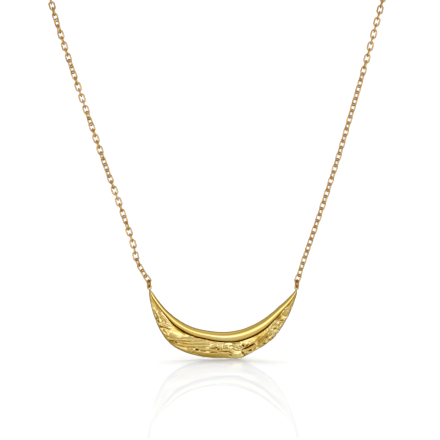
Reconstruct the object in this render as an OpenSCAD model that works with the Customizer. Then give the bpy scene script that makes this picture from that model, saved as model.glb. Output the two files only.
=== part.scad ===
// Crescent leaf pendant on a fine cable chain, as it hangs round a neck.
// Millimetres, +Z up. The pendant faces -Y, and the origin is the nape, where the clasp lies.

/* [Pendant] */
// Distance between the centres of the two tip eyes
eye_span = 35.3; // [30:0.1:42]
// How thick the casting is, as a share of the modelled one
depth_share = 1; // [0.8:0.05:1.3]
// How high the cast grain of the leaf stands, as a share of the modelled one
grain_share = 1; // [0:0.1:1.2]
// Radius of the hole in each tip eye
eye_hole_r = 0.38; // [0.36:0.01:0.5]
// Diameter of the wire that each tip eye is formed from
eye_wire_d = 0.28; // [0.26:0.01:0.34]

/* [Chain] */
// Outer length of a cable link
link_l = 2.43; // [2.4:0.01:2.5]
// Outer width of a cable link
link_w = 1.6; // [1.54:0.01:1.7]
// Wire diameter of a cable link
link_wire_d = 0.38; // [0.35:0.01:0.39]
// Free gap kept where one link hangs in another
play = 0.15; // [0.14:0.01:0.2]

/* [Rings and clasp] */
// Mean diameter of the jump ring at each pendant tip
tip_ring_d = 1.7; // [1.65:0.05:2]
// Wire diameter of those jump rings
tip_ring_wire_d = 0.48; // [0.42:0.01:0.48]
// Free gap kept inside those jump rings
ring_play = 0.14; // [0.13:0.01:0.15]
// Mean diameter of the round clasp
clasp_d = 4.4; // [4:0.1:6]
// Wire diameter of the round clasp
clasp_wire_d = 0.9; // [0.7:0.05:1.1]
// Mean diameter of the jump ring that the clasp closes on
clasp_ring_d = 2.6; // [2.4:0.1:3.2]
// Wire diameter of that jump ring
clasp_ring_wire_d = 0.5; // [0.4:0.05:0.6]

/* [Hidden] */

pendant_gold = [0.86, 0.68, 0.30];
chain_gold = [0.84, 0.60, 0.30];
round_fn = 48;

// The pendant is drawn round an arc centre above it: angles run from straight down, positive to the right.
tip_angle = 61.75;
arc_scale = eye_span / 35.3;
eye_arc_r = eye_span / 2 / sin(tip_angle);
eye_mean_r = eye_hole_r + eye_wire_d / 2;

// Where the tip eyes hang, below and in front of the nape
eye_y = -80;
eye_z = -114;
arc_z = eye_z + eye_arc_r * cos(tip_angle);

// Depth of the casting's back behind the plane of the eyes, so that it hangs level
balance = -0.014;

// Sections of the casting, one row each
// columns: angle, rim inner radius, crease radius, leaf outer radius, depth
ANGLE = 0;
RIM_R = 1;
CREASE_R = 2;
LEAF_R = 3;
DEPTH = 4;
sections = [
    [-60.4, 20.12, 20.28, 20.44, 0.15],
    [-58, 20.00, 20.55, 20.93, 0.33],
    [-55, 19.95, 20.75, 21.50, 0.42],
    [-48, 20.05, 20.95, 22.80, 0.52],
    [-40, 20.20, 21.26, 24.45, 0.64],
    [-32, 20.30, 21.85, 25.95, 0.74],
    [-26, 20.40, 22.10, 26.65, 0.80],
    [-20, 20.40, 22.25, 26.80, 0.86],
    [-10, 20.25, 22.25, 26.75, 0.91],
    [0, 20.25, 22.55, 26.60, 0.93],
    [6, 20.20, 22.70, 26.85, 0.93],
    [10, 20.15, 22.65, 26.95, 0.92],
    [13, 20.10, 22.55, 26.50, 0.90],
    [20, 19.90, 22.30, 25.80, 0.86],
    [28, 19.70, 21.80, 25.20, 0.79],
    [36, 19.50, 21.15, 23.90, 0.69],
    [44, 19.42, 20.80, 22.70, 0.58],
    [52, 19.72, 20.75, 21.62, 0.46],
    [58, 20.02, 20.60, 20.88, 0.33],
    [60.4, 20.12, 20.28, 20.44, 0.15],
];

// Cast grain of the leaf: ridges, and grooves where the height is negative
// columns: from angle, from share of the leaf's height, to angle, to share, half width, height
grain = [
    [-57, 0.45, -49, 0.60, 0.30, 0.14],
    [-52, 0.60, -40, 0.27, 0.32, 0.22],
    [-47, 0.85, -39, 0.60, 0.32, 0.18],
    [-40, 0.83, -32, 0.46, 0.34, 0.24],
    [-37, 0.94, -28, 0.78, 0.36, 0.22],
    [-36, 0.28, -24, 0.16, 0.34, 0.16],
    [-30, 0.44, 5, 0.22, 0.32, 0.20],
    [-26, 0.60, -4, 0.40, 0.30, 0.18],
    [-14, 0.68, -4, 0.54, 0.26, -0.30],
    [-15, 0.82, 4, 0.66, 0.34, 0.24],
    [4, 0.54, 6.5, 0.96, 0.42, 0.26],
    [9, 0.10, 8, 0.90, 0.36, 0.14],
    [11, 0.80, 17, 0.50, 0.30, -0.32],
    [18, 0.66, 27, 0.44, 0.36, 0.20],
    [22, 0.88, 37, 0.74, 0.34, 0.22],
    [25, 0.24, 34, 0.18, 0.34, -0.12],
    [31, 0.52, 41, 0.34, 0.32, 0.20],
    [38, 0.74, 47, 0.50, 0.30, 0.18],
    [45, 0.36, 55, 0.42, 0.28, 0.14],
];

// How each side's eye and jump ring are turned about the upright, and how the ring leans outward
// columns: side, turn of the eye, turn of the ring from edge-on, lean
left_tip = [-1, -20, -18, 7];
right_tip = [1, 30, 18, 5];

// The right and left runs of the chain, from just above the pendant's jump ring to near the clasp
// columns: x, y, z, and the way that every other link faces, in degrees from the front
X = 0;
Y = 1;
Z = 2;
FACE = 3;
right_run = [
    [18.05, -80.0, -111.8, 0],
    [18.86, -80.0, -109.0, 0],
    [20.56, -80.0, -104.0, 0],
    [23.5, -79.8, -95.4, 0],
    [27.27, -79.3, -83.8, 0],
    [30.68, -78.5, -72.3, 0],
    [34.86, -77.0, -57.8, 0],
    [38.33, -74.6, -45.0, 6],
    [43.0, -66.0, -28.5, 42],
    [44.8, -48.0, -16.4, 84],
    [40.6, -27.5, -8.0, 120],
    [28.5, -9.6, -2.6, 156],
    [12.0, -1.2, -0.2, 174],
];
left_run = [
    [-18.45, -80.0, -111.5, 0],
    [-19.6, -80.0, -109.6, 0],
    [-20.85, -80.0, -107.0, 0],
    [-21.46, -80.0, -103.8, 0],
    [-24.28, -79.8, -95.4, 0],
    [-28.49, -79.3, -83.8, 0],
    [-32.45, -78.5, -72.4, 0],
    [-37.44, -77.0, -57.8, 0],
    [-41.4, -74.4, -45.0, 8],
    [-44.7, -65.3, -29.6, 44],
    [-45.3, -48.0, -17.4, 84],
    [-40.5, -27.7, -8.6, 120],
    [-28.2, -9.7, -2.8, 156],
    [-12.0, -1.2, -0.2, 174],
];
// How far the links are twisted beyond that, as link number from the pendant and degrees
right_twist = [
    [0, 25], [1, 40], [2, 48], [3, 50], [5, 44], [7, 38], [9, 34], [24, 34],
    [27, 38], [29, 44], [31, 48], [32, 44], [33, 34], [34, 22], [35, 12], [38, 3],
    [46, 2], [50, 0],
];
left_twist = [
    [0, 28], [1, 44], [2, 40], [3, 24], [4, 10], [5, 4], [8, 8], [9, 24],
    [10, 42], [11, 60], [12, 76], [13, 86], [15, 85], [16, 76], [17, 62], [18, 53],
    [20, 42], [21, 28], [22, 14], [24, 8], [25, 12], [26, 24], [27, 42], [28, 60],
    [29, 78], [30, 86], [33, 85], [34, 76], [35, 62], [36, 48], [37, 34], [38, 20],
    [39, 8], [42, 8], [43, 22], [44, 39], [45, 56], [46, 73], [47, 84], [48, 80],
    [56, 0],
];

// How the links are spaced near the pendant, where some hang slack; the rest of a run is spaced evenly
// columns: link number, and its distance from the run's start in link pitches
right_spacing = [[20, 20.26]];
left_spacing = [[13, 13.06], [48, 46.68]];

// Derived sizes of the chain and its fittings
link_r = (link_w - link_wire_d) / 2;
link_straight = link_l - link_w;
link_reach = (link_l - link_wire_d) / 2;
link_pitch = link_l - 2 * link_wire_d - play;
hinge_back = link_reach - link_pitch / 2;
ring_hang = (eye_wire_d + tip_ring_wire_d) / 2 + ring_play;
link_hang = (tip_ring_wire_d + link_wire_d) / 2 + ring_play;
clasp_eye_r = 0.62;
clasp_eye_wire_d = 0.44;
clasp_eye_x = (clasp_d + clasp_wire_d) / 2 + clasp_eye_r - clasp_eye_wire_d / 2;
clasp_ring_x = clasp_d / 2 - (clasp_wire_d + clasp_ring_wire_d) / 2 - play + clasp_ring_d / 2;
left_end_x = clasp_eye_x + clasp_eye_r - (clasp_eye_wire_d + link_wire_d) / 2 - play;
right_end_x = clasp_ring_x + clasp_ring_d / 2 - (clasp_ring_wire_d + link_wire_d) / 2 - play;
// The clasp sits off centre, so that both runs of chain end equally far from the nape.
clasp_x = (left_end_x - right_end_x) / 2;
run_end_x = (left_end_x + right_end_x) / 2 + hinge_back;

// A smooth value between table rows: cubic through the four rows round the place i + t
function cubic(a, b, c, d, t) =
    b + 0.5 * t * (c - a + t * (2 * a - 5 * b + 4 * c - d + t * (3 * (b - c) + d - a)));
function row_at(rows, i) = rows[max(0, min(len(rows) - 1, i))];
function smooth_row(rows, i, t) =
    cubic(row_at(rows, i - 1), row_at(rows, i), row_at(rows, i + 1), row_at(rows, i + 2), t);

// The casting

function section_below(a, i = 0) =
    i >= len(sections) - 2 || a < sections[i + 1][ANGLE] ? i : section_below(a, i + 1);
// Straight interpolation keeps the outline's corners, and steps of a degree keep them soft.
function section_at(a) =
    let (
        i = section_below(a),
        low = sections[i],
        high = sections[i + 1],
        t = (a - low[ANGLE]) / (high[ANGLE] - low[ANGLE]),
        curved = smooth_row(sections, i, t),
        straight = low + (high - low) * t
    )
    (curved + straight) / 2;

// Height of one ridge at a point of the leaf: a rounded bar that fades at both ends
function ridge(g, a, s, leaf_h, mid_r) =
    let (
        t = (a - g[0]) / (g[2] - g[0]),
        along = max(0, min(1, t)),
        off_s = (s - (g[1] + (g[3] - g[1]) * along)) * leaf_h,
        slant = (g[3] - g[1]) * leaf_h / ((g[2] - g[0]) * PI / 180 * mid_r),
        off_a = (t - along) * (g[2] - g[0]) * PI / 180 * mid_r,
        off = norm([off_s / sqrt(1 + slant * slant), off_a]) / g[4]
    )
    g[5] * exp(-off * off) * min(1, 0.35 + 2.6 * along * (1 - along) + 0.3);
function relief(a, s, leaf_h, mid_r, i = 0, sum = 0) =
    i == len(grain) ? sum : relief(a, s, leaf_h, mid_r, i + 1, sum + ridge(grain[i], a, s, leaf_h, mid_r));

rim_steps = 7;
leaf_steps = 15;
// One closed cross-section, as [radius, depth] points: round rim, crease, domed leaf, edge and flat back
function outline_at(a) =
    let (
        row = section_at(a),
        rim_r = row[RIM_R],
        crease_r = row[CREASE_R],
        leaf_r = row[LEAF_R],
        d = row[DEPTH] * depth_share,
        rim_w = crease_r - rim_r,
        leaf_h = leaf_r - crease_r,
        fade = min(1, leaf_h / 2.5)
    )
    [
        for (i = [0:rim_steps])
            let (turn = 200 - i * 205 / rim_steps)
            [rim_r + rim_w * (0.5 + 0.5 * cos(turn)), -0.15 * d - 1.05 * d * sin(turn)],
        for (i = [1:leaf_steps])
            let (
                s = i / leaf_steps,
                dome = 0.2 + 0.5 * sin(155 * pow(s, 0.75)),
                rise = grain_share * fade * relief(a, s, leaf_h, crease_r + leaf_h / 2) * sqrt(sin(168 * s + 4))
            )
            [crease_r + leaf_h * s, -d * dome - rise],
        [leaf_r, 0.3 * d],
        [leaf_r - 0.12 * leaf_h, 0.75 * d],
        [crease_r, 0.75 * d],
        [rim_r + 0.2 * rim_w, 0.75 * d],
    ];

station_steps = 112;
end_angle = 60.4;
function place(a, point) =
    [
        arc_scale * point[0] * sin(a),
        eye_y + point[1] - balance,
        arc_z - arc_scale * point[0] * cos(a)
    ];

// Joins rings of equally many points into one closed solid, its two ends capped by fans
module skin(rings) {
    n = len(rings[0]);
    last = len(rings) - 1;
    points = [for (ring = rings) each ring];
    sides = [
        for (i = [0:last - 1], j = [0:n - 1])
            let (a = i * n + j, b = i * n + (j + 1) % n)
            each [[a, a + n, b + n], [a, b + n, b]]
    ];
    caps = [
        for (j = [1:n - 2]) each [[0, j, j + 1], [last * n, last * n + j + 1, last * n + j]]
    ];
    polyhedron(points = points, faces = concat(sides, caps), convexity = 8);
}

module casting() {
    skin([
        for (i = [0:station_steps])
            let (a = -end_angle + 2 * end_angle * i / station_steps)
            [for (point = outline_at(a)) place(a, point)]
    ]);
}

// A round wire ring in the XZ plane, so its hole faces the front
module wire_ring(mean_r, wire_d) {
    rotate([90, 0, 0])
        rotate_extrude($fn = round_fn)
            translate([mean_r, 0])
                circle(d = wire_d, $fn = round_fn / 2);
}

module pendant() {
    color(pendant_gold)
        union() {
            casting();
            for (tip = [left_tip, right_tip])
                translate(eye_centre(tip))
                    rotate([0, 0, tip[EYE_TURN]])
                        wire_ring(eye_mean_r, eye_wire_d);
        }
}

// The chain

// Evenly spaced samples of a run, as rows of its table
run_steps = 12;
function samples(run) = [
    for (i = [0:len(run) - 2], j = [0:run_steps - 1]) smooth_row(run, i, j / run_steps),
    run[len(run) - 1]
];
function place_of(row) = [row[X], row[Y], row[Z]];
// Length along the samples, one value for each
function lengths(rows, i = 0, sum = 0, out = []) =
    i == len(rows) ? out
    : let (so_far = sum + (i == 0 ? 0 : norm(place_of(rows[i]) - place_of(rows[i - 1]))))
    lengths(rows, i + 1, so_far, concat(out, [so_far]));
function column(rows, along, c) = [for (i = [0:len(rows) - 1]) [along[i], rows[i][c]]];
function unit(v) = v / norm(v);

// How a tip's table is read: the way its jump ring stands up from the eye, and where the ring lies
SIDE = 0;
EYE_TURN = 1;
RING_TURN = 2;
LEAN = 3;
function way_up(tip) = [tip[SIDE] * sin(tip[LEAN]), 0, cos(tip[LEAN])];
function eye_centre(tip) = [tip[SIDE] * eye_span / 2, eye_y, eye_z];
function ring_centre(tip) =
    eye_centre(tip) + (eye_mean_r - ring_hang + tip_ring_d / 2) * way_up(tip);
// The first link's lower end hooks round the top of the ring, and its hinge point lies further up the run.
function run_start(tip, first) =
    let (
        top = ring_centre(tip) + tip_ring_d / 2 * way_up(tip),
        start = top + (hinge_back - link_hang) * unit(place_of(first) - top)
    )
    [start[X], start[Y], start[Z], 0];
function run_end(tip) = [tip[SIDE] * run_end_x, 0, 0, 180];

// One oval cable link in the XY plane, long along Y
module link() {
    for (end = [0, 180])
        rotate([0, 0, end])
            translate([0, link_straight / 2, 0])
                rotate_extrude(angle = 180, $fn = round_fn)
                    translate([link_r, 0])
                        circle(d = link_wire_d, $fn = round_fn / 2);
    for (side = [-1, 1])
        translate([side * link_r, 0, 0])
            rotate([90, 0, 0])
                cylinder(d = link_wire_d, h = link_straight, center = true, $fn = round_fn / 2);
}

// Puts a link between two hinge points, its face turned towards a heading in degrees from the front
module set_link(from, to, side, face, on_edge) {
    along = unit(to - from);
    heading = [side * sin(face), -cos(face), 0];
    facing = unit(heading - (heading * along) * along);
    across = cross(along, facing);
    normal = on_edge ? across : facing;
    wide = cross(along, normal);
    centre = (from + to) / 2;
    multmatrix([
        [wide[X], along[X], normal[X], centre[X]],
        [wide[Y], along[Y], normal[Y], centre[Y]],
        [wide[Z], along[Z], normal[Z], centre[Z]],
    ])
        link();
}

// A run of links with their hinge points along the path
// The count is even or odd, so that its last link lies across the fitting that it ends in.
module chain_run(tip, run, twist, spacing, odd) {
    rows = samples(concat([run_start(tip, run[0])], run, [run_end(tip)]));
    along = lengths(rows);
    xs = column(rows, along, X);
    ys = column(rows, along, Y);
    zs = column(rows, along, Z);
    faces = column(rows, along, FACE);
    path_l = along[len(along) - 1];
    spaced = spacing[len(spacing) - 1];
    rest = path_l / link_pitch - spaced[1];
    count = 2 * round((spaced[0] + rest - odd) / 2) + odd;
    hinges = concat(
        [[0, 0]],
        [for (row = spacing) [row[0], row[1] * link_pitch]],
        [[count, path_l]]
    );
    for (i = [0:count - 1])
        let (from = lookup(i, hinges), to = lookup(i + 1, hinges))
            set_link(
                [lookup(from, xs), lookup(from, ys), lookup(from, zs)],
                [lookup(to, xs), lookup(to, ys), lookup(to, zs)],
                tip[SIDE],
                lookup((from + to) / 2, faces) + lookup(i, twist),
                i % 2 == 1
            );
}

module chain_left() {
    color(chain_gold) chain_run(left_tip, left_run, left_twist, left_spacing, 0);
}

module chain_right() {
    color(chain_gold) chain_run(right_tip, right_run, right_twist, right_spacing, 1);
}

// The fittings

module tip_ring(tip) {
    color(chain_gold)
        translate(ring_centre(tip))
            rotate([0, tip[SIDE] * tip[LEAN], 0])
                rotate([0, 0, 90 + tip[RING_TURN]])
                    wire_ring(tip_ring_d / 2, tip_ring_wire_d);
}

module tip_ring_left() {
    tip_ring(left_tip);
}

module tip_ring_right() {
    tip_ring(right_tip);
}

// One plain closed ring with the eye that the left run ends in
module clasp() {
    color(chain_gold)
        translate([clasp_x, 0, 0]) {
            wire_ring(clasp_d / 2, clasp_wire_d);
            translate([-clasp_eye_x, 0, 0]) wire_ring(clasp_eye_r, clasp_eye_wire_d);
        }
}

module clasp_ring() {
    color(chain_gold)
        translate([clasp_x + clasp_ring_x, 0, 0])
            rotate([90, 0, 0])
                wire_ring(clasp_ring_d / 2, clasp_ring_wire_d);
}

pendant();
tip_ring_left();
tip_ring_right();
chain_left();
chain_right();
clasp();
clasp_ring();
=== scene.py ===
# Leaf pendant necklace: the cast pendant, its cable chains and fittings, and the stage they hang on.
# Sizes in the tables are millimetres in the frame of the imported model; meshes are made in metres.

import math

import bpy
import numpy as np
from bpy.props import FloatProperty, FloatVectorProperty, IntProperty, PointerProperty
from mathutils import Matrix, Vector, noise


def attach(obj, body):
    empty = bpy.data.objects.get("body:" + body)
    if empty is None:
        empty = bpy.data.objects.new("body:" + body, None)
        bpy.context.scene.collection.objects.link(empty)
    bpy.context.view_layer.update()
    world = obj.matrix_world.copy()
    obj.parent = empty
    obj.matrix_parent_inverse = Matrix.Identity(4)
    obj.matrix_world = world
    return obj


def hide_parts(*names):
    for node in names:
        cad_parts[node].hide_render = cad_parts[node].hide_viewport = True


bl_info = {
    "name": "Leaf pendant necklace",
    "version": (1, 0, 0),
    "blender": (4, 5, 0),
    "location": "3D View > Sidebar > Necklace",
    "description": "Dresses the packed necklace with its cast leaf pendant, cable chains and gold finishes",
    "category": "Add Mesh",
}

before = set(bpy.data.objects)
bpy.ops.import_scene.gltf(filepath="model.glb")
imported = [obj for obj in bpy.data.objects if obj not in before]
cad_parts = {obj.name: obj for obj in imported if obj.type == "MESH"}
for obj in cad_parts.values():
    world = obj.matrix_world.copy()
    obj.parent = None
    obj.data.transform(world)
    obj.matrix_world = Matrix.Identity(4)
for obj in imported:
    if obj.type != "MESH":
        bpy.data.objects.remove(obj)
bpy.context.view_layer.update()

MM = 0.001

# The pendant's arc: angles run from straight down, positive to the right, in degrees.
TIP_ANGLE = 61.75
END_ANGLE = 60.4
EYE_Y = -80.0
EYE_Z = -114.0
EYE_SPAN = 35.3
# Set-back of the casting that hangs its weight below the eyes
BALANCE = -0.014

# Sections of the casting
# columns: angle, rim inner radius, crease radius, leaf outer radius, depth
SECTIONS = np.array([
    (-60.4, 20.12, 20.28, 20.44, 0.15),
    (-58, 20.00, 20.55, 20.93, 0.33),
    (-55, 19.95, 20.75, 21.50, 0.42),
    (-48, 20.05, 20.95, 22.80, 0.52),
    (-40, 20.20, 21.26, 24.45, 0.64),
    (-32, 20.30, 21.85, 25.95, 0.74),
    (-26, 20.40, 22.10, 26.65, 0.80),
    (-20, 20.40, 22.25, 26.80, 0.86),
    (-10, 20.25, 22.25, 26.75, 0.91),
    (0, 20.25, 22.55, 26.60, 0.93),
    (6, 20.20, 22.70, 26.85, 0.93),
    (10, 20.15, 22.65, 26.95, 0.92),
    (13, 20.10, 22.55, 26.50, 0.90),
    (20, 19.90, 22.30, 25.80, 0.86),
    (28, 19.70, 21.80, 25.20, 0.79),
    (36, 19.50, 21.15, 23.90, 0.69),
    (44, 19.42, 20.80, 22.70, 0.58),
    (52, 19.72, 20.75, 21.62, 0.46),
    (58, 20.02, 20.60, 20.88, 0.33),
    (60.4, 20.12, 20.28, 20.44, 0.15),
])

# How the casting changes along its arc
# columns: angle, rim fullness, rim crest's shift outward, bark grain, crumple, notching of the lower edge,
# width of the crease as a share of the leaf's height, painted shade beside the crease, and at the lower edge
CHARACTER = np.array([
    (-60, 1.00, 0.10, 0.00, 0.00, 0.00, 0.055, 1.00, 0.50),
    (-52, 1.00, 0.13, 0.20, 0.50, 0.03, 0.055, 0.85, 0.10),
    (-46, 1.00, 0.13, 0.30, 0.80, 0.04, 0.055, 0.20, 0.40),
    (-42, 1.00, 0.12, 0.40, 1.00, 0.05, 0.055, 0.00, 0.25),
    (-34, 1.00, 0.09, 0.70, 0.60, 0.04, 0.090, 0.00, 0.50),
    (-28, 1.00, 0.05, 1.00, 0.35, 0.03, 0.130, 0.05, 0.60),
    (-20, 1.00, 0.03, 1.00, 0.35, 0.03, 0.070, 0.00, 0.50),
    (-8, 1.00, 0.02, 1.00, 0.40, 0.02, 0.055, 0.00, 0.60),
    (2, 0.95, 0.00, 0.70, 0.70, 0.02, 0.060, 0.00, 0.40),
    (8, 0.80, 0.00, 0.40, 1.00, 0.04, 0.070, 0.00, 0.00),
    (14, 0.72, 0.02, 0.50, 1.00, 0.12, 0.070, 0.20, 0.00),
    (22, 0.72, 0.04, 1.00, 0.50, 0.12, 0.090, 0.60, 0.20),
    (30, 0.76, 0.08, 0.60, 1.00, 0.14, 0.090, 0.35, 0.10),
    (35, 0.80, 0.10, 0.50, 0.95, 0.10, 0.075, 0.00, 0.00),
    (40, 0.85, 0.12, 0.40, 0.90, 0.08, 0.065, 0.20, 0.20),
    (46, 0.93, 0.16, 0.30, 0.70, 0.05, 0.060, 0.15, 0.20),
    (52, 1.00, 0.20, 0.20, 0.50, 0.03, 0.055, 1.20, 0.10),
    (60, 1.00, 0.20, 0.00, 0.00, 0.00, 0.055, 1.00, 0.80),
])

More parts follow.
